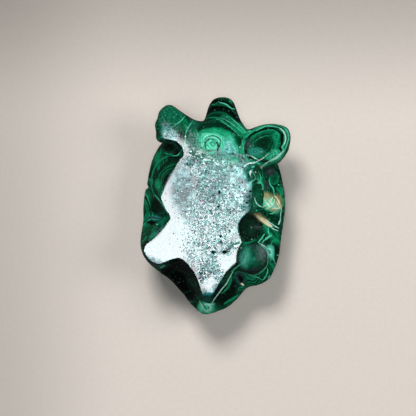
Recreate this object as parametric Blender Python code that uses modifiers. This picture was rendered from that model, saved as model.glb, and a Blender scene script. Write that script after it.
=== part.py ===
"""A small malachite turtle, carved and polished from one stone.

It lies on its back, as in the photograph: +Z is up through the flat, lapped
underside, the head points along +Y, and the domed shell rests on its crown at
z = 0. All the numbers below are millimetres, and the mesh is made in metres.
"""

import math

import bmesh
import bpy
from mathutils import Matrix, Vector

MM = 0.001

# The middle of the finished outline, in the numbers below: it becomes the origin.
OUTLINE_MIDDLE = (0.17, 0.18)

# Heights above the surface that the crown rests on.
UNDERSIDE_Z = 19.0
RIM_Z = 11.6
CROWN_FLAT = (4.5, 5.5)
CROWN_CENTRE = (-0.6, -0.4)
LAPPING_ALLOWANCE = 0.7
CROWN_ALLOWANCE = 0.07

# The shell's dome is a superellipse from the rim down to the crown.
DOME_POWER = 2.0
DOME_RINGS = 12
SIDE_RINGS = 9

# Points of the closed curves between two landmarks.
STEPS_PER_SPAN = 4

# Finishing: the grain of the joined solid, the polish, and the share of its faces kept.
GRAIN = 0.42
POLISH_PASSES = 7
FACES_KEPT = 0.105

# Landmarks round the turtle, from the neck past its left side, the tail and its right
# side: (rim x, rim y), (underside edge x, y), rise of the rim above RIM_Z, and how the
# side falls from the edge to the rim: under 1 is hollow, over 1 is full.
LANDMARKS = (
    # The neck and the front left corner, which the foot hides.
    ((1.9, 19.9), (1.9, 14.9), 0.0, 1.0),
    ((-3.6, 19.9), (-2.8, 14.9), 0.0, 1.0),
    ((-8.8, 19.1), (-6.4, 15.0), 0.0, 0.9),
    ((-12.9, 17.3), (-7.9, 14.8), 0.0, 0.7),
    ((-15.0, 14.7), (-8.3, 13.7), 0.0, 0.8),
    # The full left side of the shell, down to the notch before the rear foot.
    ((-16.3, 11.8), (-9.0, 11.6), 0.0, 1.1),
    ((-17.0, 9.0), (-10.7, 9.0), 0.2, 1.2),
    ((-17.5, 5.9), (-12.9, 5.9), 0.4, 1.2),
    ((-18.0, 2.7), (-14.0, 3.0), 0.4, 1.0),
    ((-18.3, -0.4), (-12.9, -0.1), 0.2, 0.8),
    ((-18.4, -2.7), (-11.9, -2.4), 0.0, 0.6),
    ((-18.7, -4.5), (-12.9, -4.3), 0.0, 0.7),
    # The rear left foot.
    ((-19.1, -6.4), (-15.0, -6.6), 0.3, 0.9),
    ((-19.4, -8.2), (-17.1, -9.0), 0.8, 1.0),
    ((-19.5, -9.8), (-18.4, -11.1), 1.2, 1.1),
    ((-18.9, -11.8), (-17.7, -12.9), 1.2, 1.1),
    ((-17.6, -14.0), (-16.1, -14.5), 0.8, 1.0),
    ((-16.2, -15.5), (-14.2, -14.9), 0.3, 0.9),
    # The deep hollow between the rear left foot and the tail.
    ((-14.6, -16.8), (-12.2, -14.1), 0.0, 0.7),
    ((-12.7, -18.7), (-10.1, -13.3), 0.0, 0.6),
    ((-10.7, -20.7), (-8.5, -13.4), 0.1, 0.6),
    ((-8.8, -22.9), (-6.7, -15.1), 0.4, 0.65),
    ((-7.0, -24.6), (-5.1, -17.3), 0.9, 0.75),
    ((-5.3, -26.1), (-4.0, -19.9), 1.6, 0.9),
    ((-3.7, -27.6), (-3.1, -22.2), 2.2, 1.0),
    # The tail and its right flank.
    ((-2.2, -28.4), (-2.0, -23.8), 2.5, 1.2),
    ((-0.7, -27.6), (-0.9, -22.6), 2.3, 1.1),
    ((0.8, -26.8), (0.3, -20.7), 1.8, 1.0),
    ((2.9, -26.0), (1.5, -18.6), 1.2, 0.95),
    ((5.0, -24.3), (2.8, -16.8), 0.7, 0.85),
    ((7.1, -22.2), (4.2, -15.5), 0.2, 0.8),
    # The rear right corner: its foot is a lobe of its own, below.
    ((8.9, -20.7), (5.5, -14.2), 0.0, 0.75),
    ((10.7, -20.2), (6.2, -12.9), 0.3, 0.8),
    ((12.8, -19.4), (6.6, -11.6), 0.7, 0.9),
    ((14.6, -17.6), (6.7, -10.5), 0.9, 1.0),
    ((16.0, -15.0), (6.7, -9.6), 0.9, 1.0),
    ((16.8, -11.8), (6.5, -8.7), 0.7, 1.0),
    # The right side, cut by a round scoop and a long hollow.
    ((17.1, -8.5), (6.1, -7.2), 0.5, 0.95),
    ((17.5, -5.1), (6.0, -5.1), 0.2, 0.75),
    ((17.9, -2.0), (6.7, -3.0), 0.5, 1.0),
    ((18.1, 0.9), (8.2, -1.2), 0.9, 1.25),
    ((18.0, 3.8), (9.3, 1.4), 0.5, 0.9),
    ((17.6, 6.4), (9.5, 4.3), 0.1, 0.7),
    ((17.1, 8.7), (9.3, 6.6), 0.0, 0.65),
    ((16.2, 11.1), (9.4, 9.0), 0.0, 0.7),
    # The front right corner, which the foot hides.
    ((14.4, 14.7), (9.7, 10.8), 0.0, 0.8),
    ((10.5, 17.8), (8.1, 13.4), 0.0, 0.9),
    ((6.6, 19.4), (5.5, 14.6), 0.0, 1.0),
)

# The front left foot is a flat paddle with a scalloped outer edge. Both front feet are
# given as an outline, the share of it and the height of each ring, and how far the foot
# falls for each millimetre along X and Y from its root.
LEFT_FOOT_OUTLINE = (
    (-14.3, 16.8), (-15.2, 18.0), (-14.9, 19.4), (-15.4, 21.0), (-15.1, 22.9), (-14.8, 24.6),
    (-13.7, 25.9), (-12.2, 26.5), (-10.6, 25.7), (-8.8, 24.4), (-7.0, 23.2), (-5.0, 22.1),
    (-3.2, 21.8), (-0.6, 20.8), (0.8, 16.0), (-3.4, 13.6), (-7.2, 14.1), (-8.5, 14.7),
    (-10.1, 15.8), (-12.2, 16.5),
)
LEFT_FOOT_RINGS = (
    (0.45, 12.3), (0.75, 12.7), (0.92, 13.5), (1.0, 15.1), (1.0, 16.8), (0.965, 18.1), (0.89, 18.9),
    (0.72, 19.3),
)
LEFT_FOOT_FALL = (-0.035, 0.055)
LEFT_FOOT_ROOT = (-3.0, 15.0)

# The front right foot is a fuller, rounded lobe.
RIGHT_FOOT_OUTLINE = (
    (8.1, 19.3), (10.2, 20.3), (12.3, 21.0), (14.6, 21.3), (17.1, 21.0), (19.0, 20.1), (19.8, 18.3),
    (19.6, 16.4), (18.7, 14.6), (17.6, 12.9), (16.2, 11.4), (14.4, 11.0), (12.3, 10.0), (9.7, 9.5),
    (6.3, 11.0), (4.6, 15.2), (5.4, 17.8),
)
RIGHT_FOOT_RINGS = (
    (0.45, 10.6), (0.75, 11.3), (0.93, 12.6), (1.0, 14.6), (0.99, 16.2), (0.94, 17.6), (0.85, 18.5),
    (0.72, 19.0), (0.50, 19.3),
)
RIGHT_FOOT_FALL = (0.07, 0.03)
RIGHT_FOOT_ROOT = (6.5, 13.0)

# The head and neck, from the chest out: (y, middle x, half width, underside z, crown-side
# z, power of the section), where a section of power 2 is an ellipse and more is squarer.
HEAD_SECTIONS = (
    (11.0, 2.0, 9.4, 19.6, 8.5, 4.5),
    (14.5, 2.0, 9.0, 19.3, 8.3, 4.5),
    (18.0, 2.1, 7.2, 18.75, 8.2, 4.0),
    (20.8, 2.1, 5.35, 18.0, 8.3, 3.2),
    (22.6, 2.0, 4.35, 17.3, 8.6, 2.7),
    (24.6, 1.9, 3.75, 16.5, 9.0, 2.4),
    (26.4, 1.9, 3.2, 15.6, 9.6, 2.3),
    (27.8, 2.0, 2.3, 14.5, 10.5, 2.2),
    (28.6, 2.0, 1.1, 13.4, 11.6, 2.0),
)
HEAD_STEPS = 40

# The rear right foot is a rounded knob: middle, then half sizes along X, Y and Z.
REAR_FOOT_MIDDLE = (7.2, -12.8, 13.8)
REAR_FOOT_HALF = (7.0, 4.7, 5.15)

# Hollows ground with a round wheel: name, middle, half sizes, turn about Z in degrees.
SCOOPS = (
    ("right_scoop", (9.5, -5.4, 19.2), (3.5, 3.8, 5.8), 0.0),
    ("right_front_hollow", (13.6, 9.0, 17.6), (3.6, 1.7, 4.4), 28.0),
    ("right_long_hollow", (12.0, 4.4, 19.4), (2.6, 3.4, 4.6), -12.0),
    ("left_front_groove", (-11.9, 14.6, 18.4), (4.2, 1.3, 5.0), -22.0),
    ("left_rear_notch", (-14.8, -2.9, 19.0), (3.4, 1.6, 5.6), 0.0),
    ("rear_left_hollow", (-9.9, -18.4, 19.2), (4.8, 3.3, 6.2), -48.0),
    ("rear_right_hollow", (7.3, -18.6, 18.6), (2.0, 3.2, 5.0), -40.0),
)
SCOOP_SEGMENTS = 40
SCOOP_RINGS = 20


def metres(point):
    """A point in millimetres as a vector in metres from the middle of the outline."""
    x, y, z = point
    return Vector((x - OUTLINE_MIDDLE[0], y - OUTLINE_MIDDLE[1], z)) * MM


def on_closed_curve(values, position):
    """The value at a position on a smooth closed curve through the given tuples of numbers."""
    index = int(position)
    share = position - index
    around = [Vector(values[(index + offset) % len(values)]) for offset in (-1, 0, 1, 2)]
    before, start, end, after = around
    slope_start = (end - before) / 2
    slope_end = (after - start) / 2
    return (
        start * (2 * share**3 - 3 * share**2 + 1)
        + slope_start * (share**3 - 2 * share**2 + share)
        + end * (3 * share**2 - 2 * share**3)
        + slope_end * (share**3 - share**2)
    )


def closed_curve(values, steps=STEPS_PER_SPAN):
    """Points of the smooth closed curve through the given tuples of numbers."""
    return [on_closed_curve(values, i / steps) for i in range(len(values) * steps)]


def loft(name, rings, collection):
    """A closed solid through rings of equally many points, with a flat face on the first and last."""
    mesh = bpy.data.meshes.new(name)
    shape = bmesh.new()
    made = [[shape.verts.new(metres(point)) for point in ring] for ring in rings]
    for lower, upper in zip(made, made[1:]):
        for i, corner in enumerate(lower):
            j = (i + 1) % len(lower)
            shape.faces.new((corner, lower[j], upper[j], upper[i]))
    shape.faces.new(made[0][::-1])
    shape.faces.new(made[-1])
    bmesh.ops.recalc_face_normals(shape, faces=shape.faces)
    shape.to_mesh(mesh)
    shape.free()
    solid = bpy.data.objects.new(name, mesh)
    collection.objects.link(solid)
    return solid


def ellipsoid(name, middle, half_sizes, turn, collection):
    """A closed ellipsoid, turned about the vertical through its middle."""
    mesh = bpy.data.meshes.new(name)
    shape = bmesh.new()
    bmesh.ops.create_uvsphere(shape, u_segments=SCOOP_SEGMENTS, v_segments=SCOOP_RINGS, radius=1.0)
    place = (
        Matrix.Translation(metres(middle))
        @ Matrix.Rotation(math.radians(turn), 4, "Z")
        @ Matrix.Diagonal((*(Vector(half_sizes) * MM), 1.0))
    )
    bmesh.ops.transform(shape, matrix=place, verts=shape.verts)
    shape.to_mesh(mesh)
    shape.free()
    solid = bpy.data.objects.new(name, mesh)
    collection.objects.link(solid)
    return solid


def shell_blank(collection):
    """The shell and the block under it: underside edge, side, rim, dome and crown."""
    rim = closed_curve([(x, y, RIM_Z + rise) for (x, y), _, rise, _ in LANDMARKS])
    edge = closed_curve([edge_point for _, edge_point, _, _ in LANDMARKS])
    fall = closed_curve([(power, power) for _, _, _, power in LANDMARKS])
    top = UNDERSIDE_Z + LAPPING_ALLOWANCE
    rings = [[(p.x, p.y, top) for p in edge]]
    for step in range(SIDE_RINGS):
        share = step / SIDE_RINGS
        ring = []
        for outer, inner, power in zip(rim, edge, fall):
            across = inner.lerp(outer.xy, share)
            drop = share ** power.x
            ring.append((across.x, across.y, UNDERSIDE_Z + (outer.z - UNDERSIDE_Z) * drop))
        rings.append(ring)
    for step in range(DOME_RINGS + 1):
        angle = math.pi / 2 * step / DOME_RINGS
        spread = math.cos(angle) ** (2 / DOME_POWER)
        depth = math.sin(angle) ** (2 / DOME_POWER)
        ring = []
        for i, outer in enumerate(rim):
            turn = math.atan2(outer.y - CROWN_CENTRE[1], outer.x - CROWN_CENTRE[0])
            crown = (
                CROWN_CENTRE[0] + CROWN_FLAT[0] / 2 * math.cos(turn),
                CROWN_CENTRE[1] + CROWN_FLAT[1] / 2 * math.sin(turn),
            )
            z = outer.z * (1 - depth) - CROWN_ALLOWANCE * depth
            ring.append((crown[0] + (outer.x - crown[0]) * spread, crown[1] + (outer.y - crown[1]) * spread, z))
        rings.append(ring)
    return loft("shell_blank", rings, collection)


def lobe(name, outline, scale_and_height, fall, root, collection):
    """A rounded foot: its outline scaled about its middle at each height, falling away from its root."""
    curve = closed_curve(outline)
    middle = sum(curve, Vector((0.0, 0.0))) / len(curve)
    rings = []
    for scale, height in scale_and_height:
        ring = []
        for point in curve:
            place = middle.lerp(point, scale)
            drop = Vector(fall).dot(place - Vector(root))
            ring.append((place.x, place.y, height - drop))
        rings.append(ring)
    return loft(name, rings, collection)


def head_and_neck(collection):
    """A tapering bar with a rounded snout, from inside the chest out to the tip."""
    rings = []
    for y, middle_x, half_width, top, bottom, power in HEAD_SECTIONS:
        ring = []
        for step in range(HEAD_STEPS):
            angle = 2 * math.pi * step / HEAD_STEPS
            across, up = math.cos(angle), math.sin(angle)
            x = middle_x + half_width * math.copysign(abs(across) ** (2 / power), across)
            z = (top + bottom) / 2 + (top - bottom) / 2 * math.copysign(abs(up) ** (2 / power), up)
            ring.append((x, y, z))
        rings.append(ring)
    return loft("head_and_neck", rings, collection)


def lapping_plates(collection):
    """The two flat laps: one grinds the underside, the other the small flat on the crown."""
    plates = []
    for name, low, high in (
        ("underside_lap", UNDERSIDE_Z, UNDERSIDE_Z + 20),
        ("crown_lap", -20.0, 0.0),
    ):
        mesh = bpy.data.meshes.new(name)
        shape = bmesh.new()
        bmesh.ops.create_cube(shape, size=1.0)
        place = Matrix.Translation(metres((0, 0, (low + high) / 2))) @ Matrix.Diagonal(
            (*(Vector((90, 90, high - low)) * MM), 1.0)
        )
        bmesh.ops.transform(shape, matrix=place, verts=shape.verts)
        shape.to_mesh(mesh)
        shape.free()
        plate = bpy.data.objects.new(name, mesh)
        collection.objects.link(plate)
        plates.append(plate)
    return plates


def add_boolean(solid, other, operation):
    """Joins or cuts the solid with another one by a Boolean modifier."""
    modifier = solid.modifiers.new(f"{operation.lower()} {other.name}", "BOOLEAN")
    modifier.operation = operation
    modifier.object = other
    modifier.solver = "EXACT"


def hide_helper(helper):
    """Keeps a cutter or a joined blank out of the model."""
    helper.hide_render = True
    helper.display_type = "WIRE"


def malachite():
    """Polished dark green stone."""
    material = bpy.data.materials.new("malachite")
    material.use_nodes = True
    shader = material.node_tree.nodes["Principled BSDF"]
    shader.inputs["Base Color"].default_value = (0.012, 0.16, 0.075, 1.0)
    shader.inputs["Roughness"].default_value = 0.15
    shader.inputs["Metallic"].default_value = 0.0
    return material


def carve(turtle, lobes, scoops, plates):
    """Joins the lobes to the blank, grinds the hollows, polishes the edges and laps the flats."""
    for solid in lobes:
        add_boolean(turtle, solid, "UNION")
    for solid in scoops:
        add_boolean(turtle, solid, "DIFFERENCE")
    grain = turtle.modifiers.new("even grain", "REMESH")
    grain.mode = "VOXEL"
    grain.voxel_size = GRAIN * MM
    polish = turtle.modifiers.new("polish", "SMOOTH")
    polish.factor = 0.5
    polish.iterations = POLISH_PASSES
    fewer = turtle.modifiers.new("fewer faces", "DECIMATE")
    fewer.ratio = FACES_KEPT
    for plate in plates:
        add_boolean(turtle, plate, "DIFFERENCE")
    for helper in (*lobes, *scoops, *plates):
        hide_helper(helper)


def main():
    """Builds the turtle in an empty scene."""
    for leftover in list(bpy.data.objects):
        bpy.data.objects.remove(leftover)
    parts = bpy.data.collections.new("malachite turtle carving")
    helpers = bpy.data.collections.new("blanks and cutters")
    for collection in (parts, helpers):
        bpy.context.scene.collection.children.link(collection)
    turtle = shell_blank(parts)
    turtle.name = "turtle"
    turtle.data.materials.append(malachite())
    lobes = [
        lobe("front_left_foot", LEFT_FOOT_OUTLINE, LEFT_FOOT_RINGS, LEFT_FOOT_FALL, LEFT_FOOT_ROOT, helpers),
        lobe("front_right_foot", RIGHT_FOOT_OUTLINE, RIGHT_FOOT_RINGS, RIGHT_FOOT_FALL, RIGHT_FOOT_ROOT, helpers),
        head_and_neck(helpers),
        ellipsoid("rear_right_foot", REAR_FOOT_MIDDLE, REAR_FOOT_HALF, 0.0, helpers),
    ]
    scoops = [ellipsoid(*scoop, helpers) for scoop in SCOOPS]
    carve(turtle, lobes, scoops, lapping_plates(helpers))


main()
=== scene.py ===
"""The looks of a small malachite turtle, lying on its shell with its flat underside up.

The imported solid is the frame. One piece of stone stands for it: a finer, polished copy with
the pits and the chip of the real one, dressed in banded malachite.
"""

import logging
import math
from collections.abc import Callable
from dataclasses import dataclass, field
from enum import Enum

import bpy
import numpy as np
from mathutils import Matrix, Vector, kdtree


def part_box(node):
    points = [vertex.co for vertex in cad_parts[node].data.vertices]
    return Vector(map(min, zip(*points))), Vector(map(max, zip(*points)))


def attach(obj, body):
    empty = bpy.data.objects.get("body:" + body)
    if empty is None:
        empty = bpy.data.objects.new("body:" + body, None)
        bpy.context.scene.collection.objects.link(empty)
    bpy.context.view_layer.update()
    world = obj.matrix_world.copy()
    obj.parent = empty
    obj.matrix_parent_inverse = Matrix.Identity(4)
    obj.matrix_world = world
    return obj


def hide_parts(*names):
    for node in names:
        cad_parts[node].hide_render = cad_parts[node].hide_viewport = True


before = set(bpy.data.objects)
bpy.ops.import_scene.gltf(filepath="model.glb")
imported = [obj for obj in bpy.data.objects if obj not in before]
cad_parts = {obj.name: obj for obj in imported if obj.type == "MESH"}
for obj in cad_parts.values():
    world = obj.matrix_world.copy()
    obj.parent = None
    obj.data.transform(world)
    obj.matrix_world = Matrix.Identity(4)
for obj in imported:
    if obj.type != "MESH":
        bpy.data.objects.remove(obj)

LOG = logging.getLogger("turtle")

MM = 0.001
UNDERSIDE_Z = 19.0
FLAT_FROM_Z = UNDERSIDE_Z - 0.05
SEED = 11

Area = tuple[float, float, float, float, float, float]
Places = tuple[tuple[float, float], ...]
Triple = tuple[float, float, float]


class Tone(Enum):
    """Colours of the stone, as linear red, green and blue."""

    BLACK = (0.0004, 0.0016, 0.0010)
    DEEP = (0.0005, 0.0090, 0.0045)
    DARK = (0.0008, 0.0280, 0.0125)
    SHADE = (0.0013, 0.0740, 0.0310)
    GREEN = (0.0024, 0.1550, 0.0650)
    LEAF = (0.0060, 0.2800, 0.1250)
    BRIGHT = (0.0220, 0.4600, 0.2400)
    MINT = (0.1000, 0.7000, 0.4400)
    PALE = (0.4400, 0.9600, 0.7800)
    TEAL = (0.0060, 0.0900, 0.0680)
    SEA = (0.0250, 0.2600, 0.2100)
    AQUA = (0.1500, 0.6200, 0.5400)
    FOAM = (0.3600, 0.8800, 0.8000)
    SLATE = (0.0220, 0.0500, 0.0480)
    MAUVE = (0.1050, 0.1050, 0.1300)
    LILAC = (0.3100, 0.2800, 0.3900)
    HAZE = (0.0300, 0.3500, 0.3600)
    MILK = (0.3000, 0.8500, 0.8000)
    ROSE = (0.2900, 0.2750, 0.2600)
    TAN = (0.3900, 0.3100, 0.1350)
    CREAM = (0.9800, 0.9400, 0.6200)


class VeinKind(Enum):
    """The thin lines between the band systems, in the order in which they are drawn."""

    BLACK = Tone.BLACK
    SLATE = Tone.SLATE
    LEAF = Tone.LEAF
    MINT = Tone.MINT
    CREAM = Tone.CREAM
    PALE = Tone.PALE

    @property
    def attribute(self) -> str:
        """The name of the mesh attribute that carries these lines."""
        return f"vein_{self.name.lower()}"


class Haze(Enum):
    """Places that the lap left smooth but dull: their colour, roughness and cover of the banding."""

    SLATE = (Tone.HAZE, 0.27, 0.85)
    CYAN = (Tone.MILK, 0.20, 0.80)
    ROSE = (Tone.ROSE, 0.21, 0.75)

    def __init__(self, tone: Tone, roughness: float, cover: float) -> None:
        """Keeps the three values under their names.

        Args:
            tone: the colour that shows there.
            roughness: how dull the face is.
            cover: how much of the banding the colour hides.
        """
        self.tone = tone
        self.roughness = roughness
        self.cover = cover

    @property
    def attribute(self) -> str:
        """The name of the mesh attribute that carries these places."""
        return f"haze_{self.name.lower()}"


@dataclass(frozen=True)
class PhotoScale:
    """Turns a place in the photograph into millimetres of the row frame."""

    mm_per_pixel: float = 0.26
    column: float = 215.45
    row: float = 205.81

    def place(self, column: float, row: float) -> tuple[float, float]:
        """The X and Y, in millimetres, that a pixel column and row look down on."""
        return (column - self.column) * self.mm_per_pixel, (self.row - row) * self.mm_per_pixel


PHOTO = PhotoScale()


@dataclass(frozen=True)
class Nodule:
    """One system of bands, placed as the photograph shows it: shells of colour round a middle.

    Attributes:
        column: pixel column of the middle.
        row: pixel row of the middle.
        half_width: half width in pixels.
        half_height: half height in pixels.
        turn: degrees, counter-clockwise in the photograph.
        blur: width of the outer edge, as a share.
        lines: how strongly the fine growth lines show.
        rings: shares of the way from the middle to the outer shell, each with its tone's name.
        depth: half size down into the stone, in millimetres.
    """

    column: float
    row: float
    half_width: float
    half_height: float
    turn: float
    blur: float
    lines: float
    rings: str
    depth: float = 16.0

    @property
    def middle(self) -> Triple:
        """The middle in the row frame, on the underside."""
        return (*PHOTO.place(self.column, self.row), UNDERSIDE_Z)

    @property
    def half(self) -> Triple:
        """The half sizes in millimetres."""
        scale = PHOTO.mm_per_pixel
        return self.half_width * scale, self.half_height * scale, self.depth


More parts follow.
